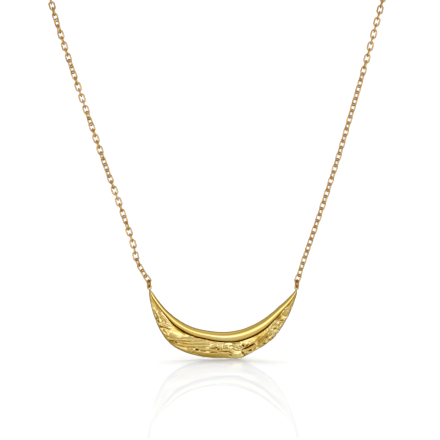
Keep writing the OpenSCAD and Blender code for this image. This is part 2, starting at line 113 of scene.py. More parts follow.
# Tool marks of the leaf: raised strokes, and cut ones where the height is negative
# columns: from x, from drop below the eyes, to x, to drop, half width, height
MARKS = np.array([
    # Left end: small crumples and slanting lobes
    (-16.90, 2.88, -15.46, 5.76, 0.24, 0.12),
    (-16.27, 3.84, -14.35, 6.96, 0.12, -0.12),
    (-15.70, 5.16, -13.49, 8.21, 0.18, 0.14),
    (-15.46, 6.14, -13.73, 8.45, 0.12, -0.16),
    (-16.27, 5.40, -15.55, 6.84, 0.24, 0.12),
    (-16.18, 6.34, -15.50, 7.78, 0.14, -0.16),
    (-16.01, 7.49, -15.89, 7.63, 0.26, -0.34),
    (-15.70, 8.06, -15.46, 8.21, 0.22, -0.28),
    (-15.26, 6.62, -14.40, 8.02, 0.17, 0.15),
    (-15.02, 7.25, -14.90, 7.44, 0.16, -0.22),
    (-14.54, 8.02, -14.40, 8.14, 0.16, -0.18),
    (-13.87, 7.58, -12.10, 9.46, 0.17, 0.10),
    (-15.22, 8.78, -12.82, 9.74, 0.41, 0.22),
    (-14.64, 8.98, -13.10, 9.55, 0.12, -0.16),
    (-15.31, 9.41, -14.06, 9.60, 0.14, -0.30),
    (-14.06, 9.60, -12.77, 10.13, 0.14, -0.30),
    (-14.98, 9.98, -13.82, 11.66, 0.34, 0.20),
    (-14.83, 10.70, -13.87, 12.10, 0.11, -0.16),
    (-14.26, 10.22, -13.39, 11.18, 0.12, -0.20),
    (-13.97, 10.46, -13.01, 11.81, 0.22, 0.15),
    (-12.60, 10.32, -10.68, 12.00, 1.06, 0.18),
    (-12.24, 11.42, -11.90, 10.75, 0.12, -0.04),
    (-13.39, 11.86, -11.66, 12.38, 0.34, -0.16),
    (-13.06, 12.82, -11.81, 12.96, 0.19, -0.26),
    (-12.00, 12.86, -11.86, 12.91, 0.22, -0.20),
    (-11.38, 13.15, -11.18, 13.25, 0.26, -0.32),
    (-10.80, 13.20, -8.88, 13.49, 0.12, -0.20),
    (-12.62, 13.34, -11.52, 14.02, 0.19, 0.14),
    (-12.00, 13.92, -8.98, 15.22, 0.43, 0.16),
    (-11.28, 13.73, -8.40, 14.54, 0.12, -0.14),
    (-8.78, 14.45, -7.30, 15.36, 0.19, 0.14),
    (-8.50, 15.02, -7.20, 14.74, 0.11, -0.16),
    (-7.92, 15.65, -6.82, 15.26, 0.19, 0.16),
    (-9.46, 15.50, -7.92, 16.13, 0.12, -0.12),
    # Left of the middle: long thin ridges
    (-12.05, 8.74, -9.22, 11.23, 0.19, 0.10),
    (-9.36, 10.70, -6.48, 11.90, 0.12, -0.08),
    (-11.09, 12.38, -7.92, 12.00, 0.12, -0.12),
    (-7.92, 12.00, -4.32, 12.19, 0.12, -0.10),
    (-10.99, 12.62, -5.28, 12.38, 0.19, 0.12),
    (-11.14, 12.86, -7.78, 13.01, 0.13, -0.22),
    (-7.78, 13.01, -4.08, 12.77, 0.12, -0.10),
    (-10.27, 13.25, -4.08, 13.15, 0.22, 0.15),
    (-10.32, 13.54, -7.20, 13.73, 0.12, -0.20),
    (-7.20, 13.73, -3.36, 13.58, 0.12, -0.10),
    (-8.54, 14.06, -3.12, 13.97, 0.22, 0.16),
    (-8.64, 14.35, -6.48, 14.50, 0.12, -0.20),
    (-6.00, 14.35, -3.46, 14.35, 0.12, -0.11),
    (-6.43, 14.98, -6.05, 15.05, 0.28, -0.50),
    (-6.00, 14.69, -1.78, 15.26, 0.22, 0.22),
    (-5.42, 15.29, -4.08, 15.41, 0.14, -0.20),
    (-3.79, 15.31, -2.88, 15.34, 0.14, -0.16),
    (-7.20, 15.74, -5.52, 16.22, 0.38, -0.16),
    # Middle: the knot, the undercut edge and the low corner
    (-3.50, 13.10, -1.68, 13.54, 0.22, 0.12),
    (-1.68, 13.54, 0.72, 13.82, 0.19, 0.10),
    (-3.17, 14.30, -1.34, 13.97, 0.14, 0.10),
    (-2.98, 14.78, -1.39, 14.57, 0.16, -0.30),
    (-1.73, 14.54, -1.49, 14.59, 0.17, -0.14),
    (-1.20, 14.93, -1.03, 14.88, 0.20, -0.40),
    (-1.68, 15.31, -1.20, 15.50, 0.19, 0.18),
    (-1.20, 15.50, -0.58, 15.22, 0.19, 0.18),
    (-0.58, 15.22, -0.58, 14.54, 0.17, 0.18),
    (-0.58, 14.54, -1.20, 14.35, 0.17, 0.16),
    (-1.58, 14.98, -1.44, 14.64, 0.14, 0.12),
    (-0.14, 14.02, -0.05, 15.07, 0.19, 0.16),
    (0.10, 14.76, 1.06, 14.40, 0.12, -0.16),
    (0.24, 14.30, 1.20, 14.02, 0.12, -0.10),
    (0.34, 15.12, 1.92, 14.74, 0.19, 0.14),
    (-3.17, 15.77, -1.54, 15.65, 0.14, -0.24),
    (-1.54, 15.65, -0.14, 15.46, 0.13, -0.20),
    (-0.14, 15.46, 1.49, 15.53, 0.16, -0.30),
    (1.49, 15.53, 2.06, 15.94, 0.17, -0.30),
    (-5.52, 16.99, 1.56, 17.42, 0.86, -0.46),
    (1.63, 16.22, 1.92, 16.46, 0.31, -0.34),
    (2.14, 14.74, 3.02, 15.10, 0.12, -0.18),
    (3.02, 15.10, 3.94, 15.17, 0.12, -0.18),
    (1.54, 14.16, 2.45, 13.97, 0.12, -0.16),
    (2.50, 14.40, 3.70, 14.06, 0.17, 0.14),
    (3.12, 14.45, 4.08, 14.78, 0.12, -0.14),
    (2.21, 13.58, 3.07, 13.44, 0.17, -0.18),
    (3.17, 13.73, 4.18, 13.30, 0.17, 0.10),
    (3.34, 15.70, 3.46, 16.66, 0.82, 0.16),
    (4.03, 14.21, 4.18, 14.30, 0.14, -0.20),
    # Deep cuts right of the corner
    (4.80, 13.97, 4.94, 14.11, 0.20, -0.42),
    (5.47, 14.21, 6.14, 13.78, 0.17, -0.34),
    (4.80, 14.83, 5.86, 14.59, 0.19, -0.36),
    (5.81, 14.50, 7.39, 13.61, 0.24, -0.46),
    (4.90, 14.38, 6.00, 14.16, 0.14, 0.18),
    (5.23, 15.26, 6.62, 14.50, 0.22, 0.20),
    (4.75, 15.70, 4.85, 15.98, 0.22, -0.40),
    (5.23, 16.22, 5.26, 16.51, 0.19, -0.36),
    (5.33, 15.74, 6.19, 15.60, 0.19, 0.22),
    (5.66, 15.98, 5.90, 16.56, 0.14, -0.22),
    (6.29, 15.34, 6.82, 15.05, 0.18, -0.34),
    (6.14, 15.02, 7.10, 14.40, 0.14, 0.16),
    (6.58, 15.74, 7.82, 14.98, 0.22, 0.20),
    (7.25, 15.12, 7.92, 14.45, 0.13, -0.20),
    (4.46, 14.30, 4.54, 15.50, 0.19, 0.16),
    # Right end: fine slanting lines and a bumpy cluster
    (7.49, 13.34, 8.98, 11.81, 0.12, -0.08),
    (8.06, 13.78, 9.79, 11.90, 0.12, -0.09),
    (8.78, 13.82, 10.51, 11.66, 0.12, -0.09),
    (9.60, 13.68, 11.04, 11.38, 0.12, -0.09),
    (7.10, 14.30, 8.54, 13.54, 0.22, 0.16),
    (8.40, 12.82, 8.62, 12.96, 0.17, -0.16),
    (9.98, 11.62, 11.28, 10.22, 0.14, 0.12),
    (10.32, 12.14, 10.66, 11.86, 0.19, -0.28),
    (10.94, 11.86, 11.90, 11.18, 0.12, -0.16),
    (9.86, 13.66, 10.13, 13.49, 0.22, -0.32),
    (7.82, 15.22, 9.46, 14.26, 0.24, 0.16),
    (8.21, 14.35, 9.74, 13.92, 0.12, -0.12),
    (10.42, 13.54, 11.66, 12.58, 0.24, 0.20),
    (10.94, 12.72, 11.52, 12.38, 0.14, -0.22),
    (11.86, 12.22, 12.05, 12.05, 0.17, -0.30),
    (11.90, 12.82, 12.82, 11.86, 0.22, 0.18),
    (12.82, 11.47, 13.01, 11.33, 0.17, -0.28),
    (10.85, 11.18, 12.10, 10.46, 0.19, 0.14),
    (11.86, 11.14, 13.06, 10.70, 0.14, 0.14),
    (11.47, 9.74, 12.34, 8.50, 0.14, 0.12),
    (12.05, 9.22, 12.77, 8.45, 0.12, -0.16),
    (12.38, 9.96, 12.62, 9.91, 0.17, -0.30),
    (12.62, 9.36, 13.20, 8.88, 0.22, 0.18),
    (13.10, 9.74, 13.68, 9.50, 0.22, 0.18),
    (13.25, 9.22, 13.82, 8.69, 0.12, -0.20),
    (13.15, 10.22, 13.73, 10.13, 0.12, -0.20),
    (13.54, 10.56, 14.16, 9.94, 0.22, 0.16),
    (13.87, 8.04, 14.35, 7.90, 0.18, -0.30),
    (12.77, 8.02, 13.82, 7.58, 0.17, 0.16),
    (14.26, 8.45, 14.88, 8.02, 0.19, 0.16),
    (13.58, 8.40, 14.30, 8.59, 0.12, -0.16),
    (14.30, 9.26, 14.78, 8.69, 0.14, -0.16),
    (12.58, 7.58, 14.02, 6.29, 0.48, -0.16),
    (14.35, 6.34, 15.74, 5.86, 0.19, 0.22),
    (14.54, 6.82, 15.46, 6.86, 0.34, -0.18),
    (14.69, 5.66, 15.84, 4.94, 0.12, -0.14),
    (15.36, 5.47, 16.08, 5.14, 0.22, 0.16),
    (16.13, 4.80, 16.46, 4.51, 0.19, -0.26),
    (16.42, 3.98, 16.85, 3.36, 0.22, 0.18),
    (15.31, 4.70, 16.46, 3.70, 0.14, -0.12),
])

# Places of the leaf that are worked smooth, some of them darkened with painted shade
# columns: x, drop below the eyes, half length, half width, turn in degrees (rising to the right), and
# painted shade
SMOOTH = np.array([
    (-11.40, 11.30, 1.50, 0.90, -20, 0.15),
    (-10.60, 10.35, 2.00, 0.50, -28, 0.60),
    (-10.60, 14.40, 1.80, 0.60, -22, 0.0),
    (-2.20, 16.35, 4.20, 0.62, 0, 0.10),
    (3.40, 16.20, 1.15, 0.90, 0, 0.0),
    (-2.40, 13.80, 1.50, 0.50, 0, 0.0),
    (9.20, 12.60, 1.70, 1.00, 40, 0.38),
    (13.60, 6.95, 1.10, 0.70, 45, 0.50),
    (15.00, 6.90, 0.70, 0.50, 10, 0.0),
])

# How the eye on each tip is turned from the front, and how the jump ring in it leans outward, in degrees
# columns: side, turn of the eye, lean of the ring
LEFT_TIP = (-1, -20, 7)
RIGHT_TIP = (1, 30, 5)

# Runs of the chain, from just above the pendant's jump ring to near the clasp
# columns: x, y, z, and the way that every other link faces, in degrees from the front
RIGHT_RUN = [
    (18.05, -80.0, -111.8, 0),
    (18.86, -80.0, -109.0, 0),
    (20.56, -80.0, -104.0, 0),
    (23.5, -79.8, -95.4, 0),
    (27.27, -79.3, -83.8, 0),
    (30.68, -78.5, -72.3, 0),
    (34.86, -77.0, -57.8, 0),
    (38.33, -74.6, -45.0, 6),
    (43.0, -66.0, -28.5, 42),
    (44.8, -48.0, -16.4, 84),
    (40.6, -27.5, -8.0, 120),
    (28.5, -9.6, -2.6, 156),
    (12.0, -1.2, -0.2, 174),
]
LEFT_RUN = [
    (-18.45, -80.0, -111.5, 0),
    (-19.6, -80.0, -109.6, 0),
    (-20.85, -80.0, -107.0, 0),
    (-21.46, -80.0, -103.8, 0),
    (-24.28, -79.8, -95.4, 0),
    (-28.49, -79.3, -83.8, 0),
    (-32.45, -78.5, -72.4, 0),
    (-37.44, -77.0, -57.8, 0),
    (-41.4, -74.4, -45.0, 8),
    (-44.7, -65.3, -29.6, 44),
    (-45.3, -48.0, -17.4, 84),
    (-40.5, -27.7, -8.6, 120),
    (-28.2, -9.7, -2.8, 156),
    (-12.0, -1.2, -0.2, 174),
]
# How far the links are twisted beyond that: link number from the pendant, and degrees
RIGHT_TWIST = [
    (0, 25), (1, 40), (2, 48), (3, 50), (5, 44), (7, 38), (9, 34), (24, 34),
    (27, 38), (29, 44), (31, 48), (32, 44), (33, 34), (34, 22), (35, 12), (38, 3),
    (46, 2), (50, 0),
]
LEFT_TWIST = [
    (0, 28), (1, 44), (2, 40), (3, 24), (4, 10), (5, 4), (8, 8), (9, 24),
    (10, 42), (11, 60), (12, 76), (13, 86), (15, 85), (16, 76), (17, 62), (18, 53),
    (20, 42), (21, 28), (22, 14), (24, 8), (25, 12), (26, 24), (27, 42), (28, 60),
    (29, 78), (30, 86), (33, 85), (34, 76), (35, 62), (36, 48), (37, 34), (38, 20),
    (39, 8), (42, 8), (43, 22), (44, 39), (45, 56), (46, 73), (47, 84), (48, 80),
    (56, 0),
]
# How the links are spaced near the pendant, where some hang slack; the rest of a run is spaced evenly
# columns: link number, and its distance from the run's start in link pitches
RIGHT_SPACING = [(20, 20.26)]
LEFT_SPACING = [(13, 13.06), (48, 46.68)]
# Steps between two rows of a run
RUN_STEPS = 12
# Where both runs end beside the clasp
RUN_END_X = 3.5
# Fittings that the runs start from: mean diameter and wire of the jump rings, gap inside them
TIP_RING_D = 1.7
TIP_RING_WIRE_D = 0.48
RING_PLAY = 0.14

# Tint of the gold where it is seen at a low angle
EDGE_TINT = (1.0, 0.8, 0.45, 1.0)
# How much the casting's roughness varies, and how the wire's colour deepens from link to link
CLOUDING = 0.06
DEEPER_WIRE = (0.86, 0.78, 0.66)

# Colours of the light tent before the pendant
# columns: height, from 0 straight below over 0.5 at the pendant's level to 1 straight above, and colour
TENT = [
    (0.0, (0.23, 0.22, 0.17)),
    (0.07, (0.28, 0.27, 0.22)),
    (0.25, (0.27, 0.26, 0.22)),
    (0.33, (0.33, 0.32, 0.29)),
    (0.42, (0.43, 0.43, 0.43)),
    (0.47, (0.66, 0.68, 0.75)),
    (0.50, (0.92, 0.94, 1.0)),
    (0.53, (0.80, 0.82, 0.90)),
    (0.60, (0.48, 0.48, 0.49)),
    (0.68, (0.36, 0.35, 0.32)),
    (0.75, (0.28, 0.26, 0.19)),
    (0.85, (0.24, 0.22, 0.15)),
    (0.94, (0.24, 0.225, 0.18)),
    (1.0, (0.33, 0.32, 0.29)),
]
TENT_DARK = (0.02, 0.02, 0.02)
# Ways from the pendant to the dark card that the rim's right end reflects, and to the white wall behind
CARD_WAY = (-0.45, -0.77, 0.45)
WALL_WAY = (0, 1, 0.12)
# Where the tent dims: sideways by the square of the way's x, backwards by its y, and near the card
# columns: value at which it starts to dim, value at which it is dimmest, and share of the light lost there
DIM_ASIDE = (0.2, 0.85, 0.7)
DIM_BEHIND = (-0.2, 0.5, 0.75)
DIM_CARD = (0.84, 0.99, 0.35)
# How near a way is to the wall's at the wall's rim, and where it is wholly white
WALL_RIM = (0.90, 0.985)

# Colours of the floor's board and of its sheen, which together look white, and the floor's width in metres
FLOOR_WHITE = (0.85, 0.905, 0.96)
FLOOR_SHEEN = (1.0, 0.87, 0.68)
FLOOR_W = 12

# Lamps that light the floor: one above it, one before the pendant and a low strip of them behind it
# columns: tilt from straight down, turn, spread, all in degrees, and share of the light
LAMPS = [
    (0, 0, 80, 0.16),
    (-45, 0, 60, 0.18),
    (70, -75, 60, 0.14),
    (60, 0, 60, 0.33),
    (70, 72, 60, 0.19),
]


class PendantSizes(bpy.types.PropertyGroup):
    """Sizes of the cast pendant"""

    eye_span: FloatProperty(
        name="Eye span", description="Distance between the centres of the two tip eyes",
        default=0.0353, min=0.03, max=0.042, unit="LENGTH",
    )
    eye_hole: FloatProperty(
        name="Eye hole", description="Radius of the hole in each tip eye",
        default=0.00038, min=0.0003, max=0.0006, unit="LENGTH",
    )
    eye_wire: FloatProperty(
        name="Eye wire", description="Diameter of the wire that each tip eye is formed from",
        default=0.00028, min=0.0002, max=0.0004, unit="LENGTH",
    )
    grain: FloatProperty(
        name="Grain", description="Height of the leaf's cast grain, as a share of the modelled one",
        default=1.0, min=0.0, max=1.5, subtype="FACTOR",
    )
    stations: IntProperty(
        name="Stations", description="Cross-sections along the casting",
        default=620, min=60, max=900,
    )


class ChainSizes(bpy.types.PropertyGroup):
    """Sizes of the cable chain"""

    link_length: FloatProperty(
        name="Link length", description="Outer length of a cable link",
        default=0.00243, min=0.002, max=0.003, unit="LENGTH",
    )
    link_width: FloatProperty(
        name="Link width", description="Outer width of a cable link",
        default=0.0016, min=0.0012, max=0.002, unit="LENGTH",
    )
    wire: FloatProperty(
        name="Link wire", description="Wire diameter of a cable link",
        default=0.00038, min=0.0002, max=0.0005, unit="LENGTH",
    )
    play: FloatProperty(
        name="Play", description="Free gap kept where one link hangs in another",
        default=0.00015, min=0.00005, max=0.0003, unit="LENGTH",
    )


class GoldFinish(bpy.types.PropertyGroup):
    """Colours and polish of the gold"""

    rim: FloatVectorProperty(
        name="Rim gold", description="Colour of the polished rim", subtype="COLOR",
        default=(1.0, 0.74, 0.24), min=0.0, max=1.0,
    )
    leaf: FloatVectorProperty(
        name="Leaf gold", description="Colour of the bright cast leaf", subtype="COLOR",
        default=(1.0, 0.845, 0.43), min=0.0, max=1.0,
    )
    # Painted shade in the leaf's shallow hollows
    hollow: FloatVectorProperty(
        name="Hollow shade gold", description="Colour of the shade painted in the leaf's shallow hollows",
        subtype="COLOR", default=(0.68, 0.46, 0.10), min=0.0, max=1.0,
    )
    # Painted highlight: a paler gold laid along the rim's crest
    worn: FloatVectorProperty(
        name="Highlight gold", description="Paler colour of the highlight painted on the rim's crest", subtype="COLOR",
        default=(1.0, 0.87, 0.50), min=0.0, max=1.0,
    )
    # Painted shade in the crease and the cuts, the darkest of the painted shade
    recess: FloatVectorProperty(
        name="Shade gold", description="Colour of the darkest shade painted in the crease and the cuts",
        subtype="COLOR", default=(0.20, 0.095, 0.0), min=0.0, max=1.0,
    )
    chain: FloatVectorProperty(
        name="Chain gold", description="Colour of the chain's links", subtype="COLOR",
        default=(0.94, 0.635, 0.215), min=0.0, max=1.0,
    )
    fitting: FloatVectorProperty(
        name="Fitting gold", description="Deeper colour of the jump rings and the clasp", subtype="COLOR",
        default=(0.84, 0.47, 0.11), min=0.0, max=1.0,
    )
    rim_roughness: FloatProperty(
        name="Rim roughness", description="Polish of the rim, 0 for a mirror",
        default=0.14, min=0.0, max=1.0, subtype="FACTOR",
    )
    leaf_roughness: FloatProperty(
        name="Leaf roughness", description="Polish of the cast leaf, 0 for a mirror",
        default=0.20, min=0.0, max=1.0, subtype="FACTOR",
    )
    chain_roughness: FloatProperty(
        name="Chain roughness", description="Polish of the chain, 0 for a mirror",
        default=0.16, min=0.0, max=1.0, subtype="FACTOR",
    )


class StudioSetup(bpy.types.PropertyGroup):
    """Floor, light and camera"""

    floor_z: FloatProperty(
        name="Floor height", description="Height of the floor's top below the nape",
        default=-0.1313, min=-0.3, max=0.0, unit="LENGTH",
    )
    sheen: FloatProperty(
        name="Floor sheen", description="Share of the floor's light that mirrors the pendant",
        default=0.45, min=0.0, max=1.0, subtype="FACTOR",
    )
    tent: FloatProperty(
        name="Tent light", description="Strength of the light tent that the gold reflects",
        default=2.2, min=0.0, max=10.0,
    )
    lamps: FloatProperty(
        name="Floor lamps", description="Light that the lamps give the floor",
        default=4.03, min=0.0, max=20.0,
    )
    camera_tilt: FloatProperty(
        name="Camera tilt", description="Angle by which the camera looks down",
        default=math.radians(5), min=0.0, max=math.radians(60), subtype="ANGLE",
    )
    lens: FloatProperty(
        name="Lens", description="Focal length of the camera",
        default=340.0, min=50.0, max=600.0, unit="CAMERA",
    )
    aim: FloatVectorProperty(
        name="Aim", description="Point of the pendant's plane at the middle of the picture",
        default=(-0.00072, -0.08, -0.09783), subtype="TRANSLATION", unit="LENGTH",
    )
    view_width: FloatProperty(
        name="View width", description="Width of the picture at the pendant",
        default=0.1053, min=0.05, max=0.5, unit="LENGTH",
    )


# Shader maths


class Shade:
    """A socket of a node tree that Python's arithmetic works on"""

    def __init__(self, tree, socket):
        self.tree = tree
        self.socket = socket

    def maths(self, operation, *values):
        return add(self.tree, "ShaderNodeMath", {"operation": operation}, dict(enumerate(values)))

    def __add__(self, other):
        return self.maths("ADD", self, other)

    def __radd__(self, other):
        return self.maths("ADD", other, self)

    def __sub__(self, other):
        return self.maths("SUBTRACT", self, other)

    def __rsub__(self, other):
        return self.maths("SUBTRACT", other, self)

    def __mul__(self, other):
        return self.maths("MULTIPLY", self, other)

    def __rmul__(self, other):
        return self.maths("MULTIPLY", other, self)


def add(tree, kind, settings=None, values=None, out=0):
    """Adds a node, sets it up, fills or links its inputs, and gives one of its outputs."""
    made = tree.nodes.new(kind)
    for name, value in (settings or {}).items():
        if name == "stops":
            ramp = made.color_ramp
            for place, colour in value[1:-1]:
                ramp.elements.new(place).color = colour
            ramp.elements[0].position, ramp.elements[0].color = value[0]
            ramp.elements[-1].position, ramp.elements[-1].color = value[-1]
        else:
            setattr(made, name, value)
    for key, value in (values or {}).items():
        if isinstance(value, Shade):
            tree.links.new(value.socket, made.inputs[key])
        else:
            made.inputs[key].default_value = value
    return Shade(tree, made.outputs[out])


def blend(tree, share, low, high):
    """A colour between two."""
    return add(tree, "ShaderNodeMix", {"data_type": "RGBA"}, {0: share, 6: low, 7: high}, out=2)


def opaque(colour):
    return (*colour, 1.0)


def noise_on(tree, place, scale, detail=2.0):
    return add(tree, "ShaderNodeTexNoise", None, {"Vector": place, "Scale": scale, "Detail": detail})


def place_on(tree):
    """A point's place on its piece."""
    return add(tree, "ShaderNodeTexCoord", out=3)


def share_of(tree, name):
    """A share that the mesh holds as an attribute."""
    return add(tree, "ShaderNodeAttribute", {"attribute_name": name}, out=2)


def new_material(name):
    """A material whose tree holds only its output, with the tree and the surface socket."""
    made = bpy.data.materials.new(name)
    made.use_nodes = True
    made.node_tree.nodes.clear()
    output = made.node_tree.nodes.new("ShaderNodeOutputMaterial")
    return made, made.node_tree, output.inputs["Surface"]


def gold(tree, surface, colour, roughness, normal):
    shader = add(tree, "ShaderNodeBsdfPrincipled", None, {
        "Base Color": colour,
        "Metallic": 1.0,
        "Specular Tint": EDGE_TINT,
        "Roughness": roughness,
        "Normal": normal,
    })
    tree.links.new(shader.socket, surface)


def bump(tree, height, strength, distance):
    return add(tree, "ShaderNodeBump", None, {"Height": height, "Strength": strength, "Distance": distance})


def pendant_gold(finish):
    """Polished rim with a painted highlight, brighter and rougher cast leaf, and painted shade in its
    hollows, crease and cuts.
    """
    made, tree, surface = new_material("pendant_gold")
    place = place_on(tree)
    leaf, recess, worn = (share_of(tree, name) for name in ("leaf", "recess", "worn"))
    cloud = noise_on(tree, place, scale=700.0)
    pores = noise_on(tree, place, scale=5200.0, detail=3.0)
    # The rim turns paler where its highlight is painted
    colour = blend(tree, worn, opaque(finish.rim), opaque(finish.worn))
    colour = blend(tree, leaf, colour, opaque(finish.leaf))
    colour = blend(tree, leaf * cloud * 0.5, colour, opaque(finish.rim))
    # Painted shade: the colour deepens to the hollows' shade first, and then to the darker shade of the
    # crease and the cuts
    colour = blend(tree, recess * 2, colour, opaque(finish.hollow))
    colour = blend(tree, recess * 2 - 1, colour, opaque(finish.recess))
    spread = finish.leaf_roughness - finish.rim_roughness
    roughness = leaf * spread + cloud * CLOUDING + (finish.rim_roughness - CLOUDING / 2)
    # The pores are deeper on the leaf than on the rim
    height = pores * (leaf * 0.35 + 0.1) + cloud * 0.2
    normal = bump(tree, height, strength=0.5, distance=0.00003)
    gold(tree, surface, colour, roughness, normal)
    return made


def wire_gold(name, tone, polish, wear):
    """Polished wire whose tone varies a little from link to link, and whose polish varies with its wear."""
    made, tree, surface = new_material(name)
    place = place_on(tree)
    cloud = noise_on(tree, place, scale=900.0)
    marks = noise_on(tree, place, scale=4200.0, detail=3.0)
    deep = tuple(channel * share for channel, share in zip(tone, DEEPER_WIRE))
    colour = blend(tree, cloud, opaque(tone), opaque(deep))
    roughness = marks * wear + (polish - wear / 2)
    normal = bump(tree, marks, strength=0.35, distance=0.00002)
    gold(tree, surface, colour, roughness, normal)
    return made


# Shared geometry


def deselect():
    if bpy.context.object and bpy.context.object.mode != "OBJECT":
        bpy.ops.object.mode_set(mode="OBJECT")
    bpy.ops.object.select_all(action="DESELECT")


def pick(*pieces):
    """Selects these pieces alone, with the first one active."""
    deselect()
    for piece in pieces:
        piece.select_set(True)
    bpy.context.view_layer.objects.active = pieces[0]


def join(parts, name):
    """Joins parts into the first one."""
    pick(*parts)
    bpy.ops.object.join()
    piece = bpy.context.object
    piece.name = name
    piece.data.name = name
    return piece


def bake_place(piece):
    """Puts the piece's place into its mesh."""
    pick(piece)
    bpy.ops.object.transform_apply(location=True, rotation=True, scale=True)


def coordinates(mesh):
    points = np.empty(len(mesh.vertices) * 3, np.float32)
    mesh.vertices.foreach_get("co", points)
    return points.reshape(-1, 3).astype(float)


def set_coordinates(mesh, points):
    mesh.vertices.foreach_set("co", points.astype(np.float32).ravel())
    mesh.update()


def set_attribute(mesh, name, values):
    attribute = mesh.attributes.new(name, "FLOAT", "POINT")
    attribute.data.foreach_set("value", values.astype(np.float32).ravel())


def cubic(a, b, c, d, t):
    """A point between b and c on the smooth curve through all four."""
    return b + 0.5 * t * (c - a + t * (2 * a - 5 * b + 4 * c - d + t * (3 * (b - c) + d - a)))


def unit(v):
    return v / np.linalg.norm(v)


# The casting


def arc_z():
    """Height of the arc's centre, with the tip eyes at their angle on the arc."""
    return EYE_Z + EYE_SPAN / 2 / math.tan(math.radians(TIP_ANGLE))


def sections_at(angles):
    """Rows of the casting at these angles: half straight, half curved between the table's rows."""
    last = len(SECTIONS) - 1
    low = np.clip(np.searchsorted(SECTIONS[:, 0], angles, side="right") - 1, 0, last - 1)
    a, b, c, d = (SECTIONS[np.clip(low + k, 0, last)] for k in (-1, 0, 1, 2))
    t = ((angles - b[:, 0]) / (c[:, 0] - b[:, 0]))[:, None]
    return (cubic(a, b, c, d, t) + b + (c - b) * t) / 2


# Half width under which a lowered mark counts as a cut, and the depth at which the shade painted in a cut is
# darkest
WIDEST_CUT = 0.4
DEEP_CUT = 0.22
# Height of a mark's ends as a share of its middle's, and the squared length under which it is a dot
MARK_END = 0.6
DOT = 0.1


def marks_at(x, drop):
    """Height of the tool marks, and the share of shade painted in the narrow cuts."""
    height = np.zeros_like(x)
    cut = np.zeros_like(x)
    for x0, d0, x1, d1, width, rise in MARKS:
        along = np.array((x1 - x0, d1 - d0))
        squared = max(float(along @ along), 1e-6)
        t = np.clip(((x - x0) * along[0] + (drop - d0) * along[1]) / squared, 0, 1)
        off = np.hypot(x - x0 - t * along[0], drop - d0 - t * along[1]) / width
        # Raised marks are round and lowered ones sharper, and all but the dots taper to their ends
        shape = np.exp(-off * off) if rise > 0 else np.exp(-off ** 1.6)
        taper = 1 if squared < DOT else MARK_END + 4 * (1 - MARK_END) * t * (1 - t)
        height += rise * taper * shape
        if rise < 0 and width < WIDEST_CUT:
            cut = np.maximum(cut, -rise / DEEP_CUT * taper * np.exp(-2.6 * off * off))
    return height, np.clip(cut, 0, 1)


def averaged(values, reach):
    """Each value's mean over the square of neighbours within this reach."""
    for axis in (0, 1):
        widths = [(reach, reach) if k == axis else (0, 0) for k in (0, 1)]
        padded = np.pad(values, widths, mode="edge")
        size = values.shape[axis]
        shifts = [np.take(padded, np.arange(k, k + size), axis) for k in range(2 * reach + 1)]
        values = sum(shifts) / len(shifts)
    return values


def smooth_at(x, drop):
    """Share by which the leaf is worked smooth, 1 in the middle of a smooth place, and the shade painted
    there.
    """
    share = np.zeros_like(x)
    smooth_place_shade = np.zeros_like(x)
    for x0, d0, length, width, turn, tone in SMOOTH:
        c, s = math.cos(math.radians(turn)), math.sin(math.radians(turn))
        along = ((x - x0) * c - (drop - d0) * s) / length
        across = ((x - x0) * s + (drop - d0) * c) / width
        inside = np.exp(-(along ** 2 + across ** 2) ** 1.5)
        share = np.maximum(share, inside)
        smooth_place_shade = np.maximum(smooth_place_shade, tone * inside)
    return share, smooth_place_shade


# Layers of noise that give the leaf its bark lines and crumples, and the lower edge its notches
# columns: scale along the leaf's flow, scale across it, third coordinate, and share of the height
BARK = [(0.45, 2.6, 1.7, 1.0), (1.0, 5.5, 5.2, 0.3)]
CRUMPLES = [(1.6, 1.6, 9.1, 1.0), (3.6, 3.6, 3.3, 0.35)]
NOTCHES = [(0.42, 2.5, 0.5, 1.0), (1.1, 7.5, 0.5, 0.6)]
# Height of the bark lines and crumples, and how deep the notches are on the whole and at most
TEXTURE_H = 0.07
NOTCH_DEPTHS = (0.5, 1.4)
# Radius at which the flow is measured, and its slope towards the lower edge
FLOW_R = 24
FLOW_SLOPE = 0.3
# Share of the texture that a smooth place takes away
SMOOTHING = 0.88
# Left of the low corner the strip beside the crease is calmer: the share of the texture that it keeps,
# its share of the leaf's height, and the angles between which the calm ends
CALM = 0.4
CALM_STRIP = 0.35
CALM_END = (8, 14)


def layered(layers, u, v):
    """Height of layers of noise at a point."""
    return sum(share * noise.noise((u * along, v * over, third)) for along, over, third, share in layers)


def texture_at(flow, across, bark, crumple):
    """Bark lines along the flow of the leaf, and crumples between them."""
    rows = zip(*(values.ravel() for values in np.broadcast_arrays(flow, across, bark, crumple)))
    height = [b * layered(BARK, u, v) + c * layered(CRUMPLES, u, v) for u, v, b, c in rows]
    return TEXTURE_H * np.reshape(height, across.shape)


def notches_at(angles):
    """Shape of the lower edge's notches, a column along the arc."""
    shape = np.array([layered(NOTCHES, angle, 1) for angle in angles])
    return np.clip(NOTCH_DEPTHS[0] + shape, 0, NOTCH_DEPTHS[1])[:, None]


def relief_at(angles, radius, inner, bark, crumple):
    """Height of the leaf's marks and texture, and the shade painted in its cuts and on its smooth places."""
    turned = np.radians(angles)[:, None]
    x = radius * np.sin(turned)
    drop = EYE_Z - (arc_z() - radius * np.cos(turned))
    marks, cut = marks_at(x, drop)
    smooth, smooth_place_shade = smooth_at(x, drop)
    flow = turned * FLOW_R
    texture = texture_at(flow, radius - inner + FLOW_SLOPE * flow, bark, crumple)
    return marks + texture * (1 - SMOOTHING * smooth) * calm_at(angles), cut, smooth_place_shade


def calm_at(angles):
    """Share of the texture that is left, smaller in the calm strip beside the crease."""
    ended = (angles[:, None] - CALM_END[0]) / (CALM_END[1] - CALM_END[0])
    return CALM + (1 - CALM) * np.clip(np.maximum(ACROSS_LEAF / CALM_STRIP, ended), 0, 1)


